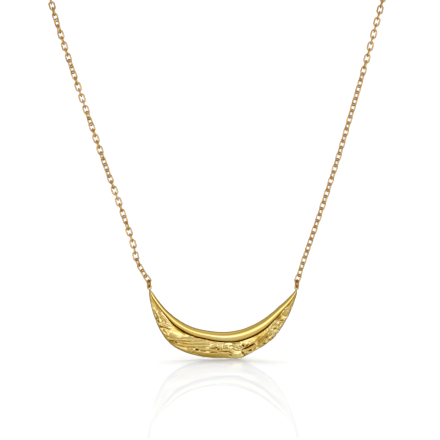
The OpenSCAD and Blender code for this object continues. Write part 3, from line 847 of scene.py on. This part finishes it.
# Outline points of a section: round the rim, across the leaf, over its lower edge and along the back
RIM_POINTS = 22
LEAF_POINTS = 64
EDGE_POINTS = 8
ON_RIM = slice(0, RIM_POINTS)
ON_LEAF = slice(RIM_POINTS, RIM_POINTS + LEAF_POINTS)
ON_EDGE = slice(ON_LEAF.stop, ON_LEAF.stop + EDGE_POINTS)
# The turns round the rim, the shares of the leaf's height, and the turns of the lower edge's round
RIM_TURNS = np.linspace(200, -5, RIM_POINTS)
ACROSS_LEAF = np.linspace(0, 1, LEAF_POINTS)
EDGE_TURNS = np.linspace(0, 90, EDGE_POINTS + 1)[1:]

# Levels as shares of the casting's depth, below 0 in front: the rim's foot and how far its crest stands
# before it, the crease, the leaf's limits, the end of the lower edge's round, and the back
RIM_LEVEL = -0.15
RIM_RISE = 1.04
CREASE_LEVEL = -0.12
LEAF_LIMITS = (-1.18, 0.15)
EDGE_LEVEL = 0.3
BACK_LEVEL = 0.75
# How far the leaf stands before the crease: beside it, added downwards, and lost at the lower edge
DOME = (0.42, 0.22, 0.45)
# Width of the lower edge's round, and the most that it takes of the leaf's height
EDGE_W = 0.28
EDGE_SHARE = 0.3
# Insets of the back: from the lower edge, of the leaf's height, and from the rim's inner side, of its width
BACK_INSETS = (0.12, 0.2)
# Heights of the leaf over which its edge is notched, and its relief is whole
NOTCHED_H = 0.6
WHOLE_H = 2.2
# Share of the leaf's height over which its relief starts from the crease
RELIEF_START = 0.06

# A hollow lies below the mean of its neighbours: their reach in points, the depths at which its painted
# shade starts and is full, how much darker it then is, and the limit of all painted shade but that of the
# cuts and the crease
HOLLOW_REACH = 4
HOLLOW_DEPTHS = (0.008, 0.068)
HOLLOW_TONE = 0.33
DEEPEST_TONE = 0.7
# Painted shade on the rim's last points before the crease, and how much the painted shade on the lower edge
# deepens to the back
CREASE_TONES = (0.15, 0.35, 0.6, 0.85, 1.0, 1.0)
EDGE_TONE = 0.8
# Share of the leaf's height over which its finish starts, and how much of it the lower edge has
FINISH_START = 1 / 12
EDGE_FINISH = 0.6

# Where a pale highlight is painted on the rim, and how far it reaches: angle along the arc, and turn round
# the rim
HIGHLIGHT_AT = (-1, 82)
HIGHLIGHT_REACH = (11, 17)


def casting_grid(sizes):
    """Radius, level and shares of the leaf's finish, of the painted shade and of the rim's painted
    highlight: a row a station, a column an outline point.
    """
    angles = np.linspace(-END_ANGLE, END_ANGLE, sizes.stations + 1)
    rim_r, crease_r, leaf_r, depth = sections_at(angles).T[1:, :, None]
    fullness, crest, bark, crumple, notching, crease_w, inner_shade, outer_shade = (
        np.interp(angles, CHARACTER[:, 0], column)[:, None] for column in CHARACTER.T[1:]
    )
    turn = np.radians(RIM_TURNS)
    swell = np.sign(np.sin(turn)) * np.abs(np.sin(turn)) ** fullness
    over = 0.5 + 0.5 * np.cos(turn)
    rim_w = crease_r - rim_r
    rim_radius = rim_r + rim_w * (over + 4 * crest * over * (1 - over))
    rim_level = depth * (RIM_LEVEL - RIM_RISE * swell)

    across = ACROSS_LEAF
    leaf_h = leaf_r - crease_r
    leaf_h = leaf_h - notching * notches_at(angles) * (leaf_h > NOTCHED_H)
    edge_w = np.minimum(EDGE_W, EDGE_SHARE * leaf_h)
    leaf_radius = crease_r + (leaf_h - edge_w) * across
    relief, cut, smooth_place_shade = relief_at(angles, leaf_radius, crease_r, bark, crumple)
    fade = np.minimum(1, leaf_h / WHOLE_H)
    relief *= sizes.grain * fade * np.clip(across / RELIEF_START, 0, 1)
    lip = np.clip(across / crease_w, 0, 1)
    dome = CREASE_LEVEL - lip ** 1.5 * (DOME[0] + DOME[1] * across - DOME[2] * across ** 3)
    leaf_level = np.clip(depth * dome - relief, LEAF_LIMITS[0] * depth, LEAF_LIMITS[1] * depth)

    roll = np.radians(EDGE_TURNS)
    brink = leaf_level[:, -1:]
    edge_radius = leaf_radius[:, -1:] + edge_w * np.sin(roll)
    edge_level = brink + (EDGE_LEVEL * depth - brink) * (1 - np.cos(roll))
    back_low = edge_radius[:, -1:] - BACK_INSETS[0] * leaf_h
    back_radius = np.hstack((back_low, crease_r, rim_r + BACK_INSETS[1] * rim_w))
    back_level = BACK_LEVEL * depth + 0 * back_radius
    radius = np.hstack((rim_radius, leaf_radius, edge_radius, back_radius))
    level = np.hstack((rim_level, leaf_level, edge_level, back_level))

    leaf, recess, worn = (np.zeros_like(radius) for _ in range(3))
    leaf[:, ON_LEAF] = np.clip(across / FINISH_START, 0, 1)
    leaf[:, ON_EDGE] = EDGE_FINISH
    # Painted shade in the hollows, which lie below the mean of their neighbours
    hollow = np.interp(averaged(relief, HOLLOW_REACH) - relief, HOLLOW_DEPTHS, (0, 1))
    # Painted shade of the hollows, of the smooth places, beside the crease and towards the lower edge
    tone = HOLLOW_TONE * hollow + smooth_place_shade + inner_shade * (1 - across) + outer_shade * across ** 3
    # Painted shade of the cuts, or the other painted shade up to its limit
    shade = np.maximum(cut * fade, np.clip(tone, 0, DEEPEST_TONE))
    # Painted shade across the crease, fading over the crease's width
    recess[:, ON_LEAF] = np.maximum(shade, 1 - lip ** 2)
    # Painted shade on the rim's last points before the crease
    recess[:, RIM_POINTS - len(CREASE_TONES):RIM_POINTS] = CREASE_TONES
    # Painted shade on the lower edge, darker towards the back
    recess[:, ON_EDGE] = outer_shade + np.linspace(0, EDGE_TONE, EDGE_POINTS)
    # Painted highlight along the rim's crest, strongest at the middle of the arc
    middle = np.exp(-((angles[:, None] - HIGHLIGHT_AT[0]) / HIGHLIGHT_REACH[0]) ** 2)
    worn[:, ON_RIM] = middle * np.exp(-((RIM_TURNS - HIGHLIGHT_AT[1]) / HIGHLIGHT_REACH[1]) ** 2)
    return angles, radius, level, {"leaf": leaf, "recess": recess, "worn": worn}


def cast_leaf(sizes):
    """A grid rolled into the casting's closed tube of cross-sections, with its ends capped."""
    angles, radius, level, shares = casting_grid(sizes)
    stations, points = radius.shape
    deselect()
    bpy.ops.mesh.primitive_grid_add(x_subdivisions=stations - 1, y_subdivisions=points, size=2)
    piece = bpy.context.object
    flat = coordinates(piece.data)
    station = np.rint((flat[:, 0] + 1) / 2 * (stations - 1)).astype(int)
    point = np.rint((flat[:, 1] + 1) / 2 * points).astype(int) % points
    scale = sizes.eye_span / MM / EYE_SPAN
    turned = np.radians(angles[station])
    r = radius[station, point] * scale
    z = arc_z() - r * np.cos(turned)
    shaped = np.column_stack((r * np.sin(turned), EYE_Y + level[station, point] - BALANCE, z))
    set_coordinates(piece.data, shaped * MM)
    for name, share in shares.items():
        set_attribute(piece.data, name, share[station, point])
    bpy.ops.object.mode_set(mode="EDIT")
    bpy.ops.mesh.select_all(action="SELECT")
    bpy.ops.mesh.remove_doubles(threshold=1e-7)
    bpy.ops.mesh.select_all(action="DESELECT")
    bpy.ops.mesh.select_non_manifold(extend=False)
    bpy.ops.mesh.fill_holes(sides=0)
    bpy.ops.mesh.select_all(action="SELECT")
    bpy.ops.mesh.normals_make_consistent(inside=False)
    bpy.ops.object.mode_set(mode="OBJECT")
    return piece


def form_eye(sizes, tip):
    """A wire ring soldered on a tip, its hole turned a little from the front."""
    deselect()
    side, eye_turn, _ = tip
    centre = Vector((side * sizes.eye_span / 2, EYE_Y * MM, EYE_Z * MM))
    bpy.ops.mesh.primitive_torus_add(
        major_segments=48, minor_segments=16,
        major_radius=sizes.eye_hole + sizes.eye_wire / 2, minor_radius=sizes.eye_wire / 2,
        location=centre, rotation=(math.radians(90), 0, math.radians(eye_turn)),
    )
    eye = bpy.context.object
    bake_place(eye)
    return eye


# The chain


def ring_top(tip):
    """Top of the mean line of a tip's jump ring, which leans in the pendant's eye."""
    side, _, lean = tip
    pendant = bpy.context.scene.necklace_pendant
    eye_wire = pendant.eye_wire / MM
    eye_r = pendant.eye_hole / MM + eye_wire / 2
    eye = np.array((side * pendant.eye_span / MM / 2, EYE_Y, EYE_Z))
    up = np.array((side * math.sin(math.radians(lean)), 0, math.cos(math.radians(lean))))
    hang = (eye_wire + TIP_RING_WIRE_D) / 2 + RING_PLAY
    return eye + (eye_r - hang + TIP_RING_D) * up


def path_through(rows):
    """Fine points of a path that curves through the rows, and their distances along it."""
    last = len(rows) - 1
    fine = [
        cubic(rows[max(i - 1, 0)], rows[i], rows[i + 1], rows[min(i + 2, last)], j / RUN_STEPS)
        for i in range(last) for j in range(RUN_STEPS)
    ]
    fine = np.array([*fine, rows[last]])
    steps = np.linalg.norm(np.diff(fine[:, :3], axis=0), axis=1)
    return fine, np.concatenate(([0], np.cumsum(steps)))


def link_place(low, high, side, face, crosswise):
    """The matrix of a link between two hinge points, facing this way or crosswise to it."""
    run_way = unit(high - low)
    heading = np.array((side * math.sin(face), -math.cos(face), 0))
    facing = unit(heading - (heading @ run_way) * run_way)
    normal = np.cross(run_way, facing) if crosswise else facing
    place = Matrix.Identity(4)
    for k, way in enumerate((np.cross(run_way, normal), run_way, normal)):
        place.col[k].xyz = way
    place.translation = (low + high) / 2 * MM
    return place


def link_places(sizes, tip, run, twist, spacing, odd):
    """The matrix of each link of a run, an even count or an odd one, between hinges along the run's path."""
    side = tip[0]
    length, wire, play = (v / MM for v in (sizes.link_length, sizes.wire, sizes.play))
    pitch = length - 2 * wire - play
    hinge_back = (length - wire) / 2 - pitch / 2
    top = ring_top(tip)
    hang = (TIP_RING_WIRE_D + wire) / 2 + RING_PLAY
    start = top + (hinge_back - hang) * unit(np.array(run[0][:3]) - top)
    path, along = path_through(np.array([(*start, 0), *run, (side * RUN_END_X, 0, 0, 180)]))
    rest = along[-1] / pitch - spacing[-1][1]
    count = 2 * round((spacing[-1][0] + rest - odd) / 2) + odd
    numbers = (0, *(row[0] for row in spacing), count)
    distances = (0, *(row[1] * pitch for row in spacing), along[-1])
    at = np.interp(np.arange(count + 1), numbers, distances)
    hinges = np.column_stack([np.interp(at, along, path[:, k]) for k in range(3)])
    faces = np.interp((at[1:] + at[:-1]) / 2, along, path[:, 3])
    faces = np.radians(faces + np.interp(np.arange(count), *np.array(twist).T))
    return [link_place(hinges[i], hinges[i + 1], side, faces[i], i % 2) for i in range(count)]


def form_link(sizes):
    """One oval link: a wire ring whose two halves are drawn apart."""
    deselect()
    sides = 16
    bpy.ops.mesh.primitive_torus_add(
        major_segments=sides, minor_segments=6,
        major_radius=(sizes.link_width - sizes.wire) / 2, minor_radius=sizes.wire / 2,
        rotation=(0, 0, math.pi / sides),
    )
    link = bpy.context.object
    bake_place(link)
    bpy.ops.object.mode_set(mode="EDIT")
    for half in (1, -1):
        bpy.ops.mesh.select_all(action="DESELECT")
        bpy.ops.object.mode_set(mode="OBJECT")
        for vertex in link.data.vertices:
            vertex.select = vertex.co.y * half > 0
        bpy.ops.object.mode_set(mode="EDIT")
        bpy.ops.transform.translate(value=(0, half * (sizes.link_length - sizes.link_width) / 2, 0))
    bpy.ops.object.mode_set(mode="OBJECT")
    bpy.ops.object.shade_smooth()
    return link


def lay_chain(link, places, name):
    """Copies of the link, each with its own mesh, joined into one run of chain."""
    links = []
    for place in places:
        copy = link.copy()
        copy.data = link.data.copy()
        copy.data.transform(place)
        bpy.context.collection.objects.link(copy)
        links.append(copy)
    return join(links, name)


class NECKLACE_OT_cast_pendant(bpy.types.Operator):
    """Casts the crescent leaf with its rim, crease and tip eyes"""

    bl_idname = "necklace.cast_pendant"
    bl_label = "Cast pendant"

    def execute(self, context):
        sizes = context.scene.necklace_pendant
        leaf = cast_leaf(sizes)
        eyes = [form_eye(sizes, tip) for tip in (LEFT_TIP, RIGHT_TIP)]
        piece = join([leaf, *eyes], "leaf_pendant")
        bpy.ops.object.shade_smooth_by_angle(angle=math.radians(55))
        piece.data.materials.append(pendant_gold(context.scene.necklace_finish))
        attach(piece, "pendant")
        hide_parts("pendant")
        return {"FINISHED"}


class NECKLACE_OT_lay_chains(bpy.types.Operator):
    """Links the two runs of cable chain"""

    bl_idname = "necklace.lay_chains"
    bl_label = "Lay chains"

    def execute(self, context):
        sizes = context.scene.necklace_chain
        link = form_link(sizes)
        finish = context.scene.necklace_finish
        material = wire_gold("chain_gold", finish.chain, finish.chain_roughness, wear=0.10)
        link.data.materials.append(material)
        runs = (
            ("left", LEFT_TIP, LEFT_RUN, LEFT_TWIST, LEFT_SPACING, 0),
            ("right", RIGHT_TIP, RIGHT_RUN, RIGHT_TWIST, RIGHT_SPACING, 1),
        )
        for side, *run in runs:
            piece = lay_chain(link, link_places(sizes, *run), "cable_chain_" + side)
            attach(piece, "chain")
            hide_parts("chain_" + side)
        bpy.data.objects.remove(link)
        return {"FINISHED"}


class NECKLACE_OT_finish_fittings(bpy.types.Operator):
    """Gives the jump rings and the clasp their polished gold"""

    bl_idname = "necklace.finish_fittings"
    bl_label = "Finish fittings"

    def execute(self, context):
        finish = context.scene.necklace_finish
        material = wire_gold("fitting_gold", finish.fitting, finish.chain_roughness, wear=0.06)
        for name in ("tip_ring_left", "tip_ring_right", "clasp", "clasp_ring"):
            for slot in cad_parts[name].material_slots:
                slot.material = material
        return {"FINISHED"}


# The stage


def rise(tree, value, low, high):
    """A share that rises smoothly from 0 to 1 while the value goes from low to high."""
    return add(tree, "ShaderNodeMapRange", {"interpolation_type": "SMOOTHSTEP"}, {0: value, 1: low, 2: high})


def dim(tree, value, low, high, lost):
    """Share of the light that is left while the value goes from low to high."""
    return 1 - rise(tree, value, low, high) * lost


def nearness(tree, way, centre):
    """How near a way lies to a centre's."""
    return add(tree, "ShaderNodeVectorMath", {"operation": "DOT_PRODUCT"}, {0: way, 1: centre}, out=1)


def light_tent(tree, studio):
    """A bright band before the pendant at its level, dimmer above, below, aside and behind.

    Only the gold and the floor's sheen reflect it. The camera sees white, and it doesn't light the board.
    """
    way = add(tree, "ShaderNodeTexCoord")
    across, away, height = (
        add(tree, "ShaderNodeSeparateXYZ", None, {"Vector": way}, out=k) for k in range(3)
    )
    stops = [(level, opaque(colour)) for level, colour in TENT]
    band = add(tree, "ShaderNodeValToRGB", {"stops": stops}, {"Fac": height * 0.5 + 0.5})
    left = dim(tree, across * across, *DIM_ASIDE) * dim(tree, away, *DIM_BEHIND)
    left = left * dim(tree, nearness(tree, way, CARD_WAY), *DIM_CARD)
    tent = blend(tree, left, opaque(TENT_DARK), band)
    wall = rise(tree, nearness(tree, way, WALL_WAY), *WALL_RIM)
    white = opaque((1 / studio.tent,) * 3)
    tent = blend(tree, wall, tent, white)
    diffuse = add(tree, "ShaderNodeLightPath", out=2)
    tent = blend(tree, diffuse, tent, opaque((0.0,) * 3))
    seen = add(tree, "ShaderNodeLightPath")
    return blend(tree, seen, tent, white)


def floor_white(studio):
    """White board with a sheen that only shows at a low angle."""
    made, tree, surface = new_material("floor_white")
    board = add(tree, "ShaderNodeBsdfDiffuse", None, {"Color": opaque(FLOOR_WHITE)})
    polish = {"Color": opaque(FLOOR_SHEEN), "Roughness": 0.01}
    mirror = add(tree, "ShaderNodeBsdfGlossy", None, polish)
    low = add(tree, "ShaderNodeLayerWeight", None, {"Blend": 0.5}, out=1)
    low = low * low
    both = add(tree, "ShaderNodeMixShader", None, {0: low * low * studio.sheen, 1: board, 2: mirror})
    tree.links.new(both.socket, surface)
    return made


def lay_floor(studio):
    deselect()
    bpy.ops.mesh.primitive_plane_add(size=FLOOR_W, location=(0, 0, studio.floor_z))
    floor = bpy.context.object
    floor.name = "floor"
    bake_place(floor)
    floor.data.materials.append(floor_white(studio))
    floor.visible_glossy = False


def hang_tent(studio):
    world = bpy.data.worlds.new("light_tent")
    world.use_nodes = True
    tree = world.node_tree
    tree.nodes.clear()
    values = {"Color": light_tent(tree, studio), "Strength": studio.tent}
    background = add(tree, "ShaderNodeBackground", None, values)
    output = tree.nodes.new("ShaderNodeOutputWorld")
    tree.links.new(background.socket, output.inputs["Surface"])
    bpy.context.scene.world = world


def set_lamps(studio):
    for tilt, turn, spread, share in LAMPS:
        tilted = math.radians(tilt)
        bpy.ops.object.light_add(type="SUN", rotation=(-tilted, 0, math.radians(turn)))
        lamp = bpy.context.object
        lamp.data.energy = studio.lamps * share / math.cos(tilted)
        lamp.data.angle = math.radians(spread)
        lamp.visible_glossy = False


def set_camera(studio):
    scene = bpy.context.scene
    camera_data = bpy.data.cameras.new("camera")
    camera_data.lens = studio.lens
    camera_data.clip_start = 0.01
    camera_data.clip_end = 30
    away = studio.view_width * studio.lens / camera_data.sensor_width
    tilt = studio.camera_tilt
    camera = bpy.data.objects.new("camera", camera_data)
    camera.location = Vector(studio.aim) + away * Vector((0, -math.cos(tilt), math.sin(tilt)))
    camera.rotation_euler = (math.radians(90) - tilt, 0, 0)
    bpy.context.collection.objects.link(camera)
    scene.camera = camera
    scene.view_settings.view_transform = "Standard"


class NECKLACE_OT_set_stage(bpy.types.Operator):
    """Sets the white floor, the light tent, the floor's lamps and the camera"""

    bl_idname = "necklace.set_stage"
    bl_label = "Set stage"

    def execute(self, context):
        studio = context.scene.necklace_studio
        lay_floor(studio)
        hang_tent(studio)
        set_lamps(studio)
        set_camera(studio)
        return {"FINISHED"}


class NECKLACE_PT_panel(bpy.types.Panel):
    """Sizes, finishes and steps of the necklace"""

    bl_idname = "NECKLACE_PT_panel"
    bl_label = "Leaf pendant necklace"
    bl_space_type = "VIEW_3D"
    bl_region_type = "UI"
    bl_category = "Necklace"

    def draw(self, context):
        for name in PROPERTIES:
            settings = getattr(context.scene, name)
            box = self.layout.box()
            for key in type(settings).__annotations__:
                box.prop(settings, key)
        for operator in STEPS:
            self.layout.operator(operator.bl_idname)


PROPERTIES = {
    "necklace_pendant": PendantSizes,
    "necklace_chain": ChainSizes,
    "necklace_finish": GoldFinish,
    "necklace_studio": StudioSetup,
}
STEPS = (
    NECKLACE_OT_cast_pendant,
    NECKLACE_OT_lay_chains,
    NECKLACE_OT_finish_fittings,
    NECKLACE_OT_set_stage,
)
CLASSES = (*PROPERTIES.values(), *STEPS, NECKLACE_PT_panel)


def register():
    for each in CLASSES:
        bpy.utils.register_class(each)
    for name, group in PROPERTIES.items():
        setattr(bpy.types.Scene, name, PointerProperty(type=group))


def unregister():
    for name in PROPERTIES:
        delattr(bpy.types.Scene, name)
    for each in reversed(CLASSES):
        bpy.utils.unregister_class(each)


def main():
    register()
    bpy.ops.necklace.cast_pendant()
    bpy.ops.necklace.lay_chains()
    bpy.ops.necklace.finish_fittings()
    bpy.ops.necklace.set_stage()


if __name__ == "__main__":
    main()
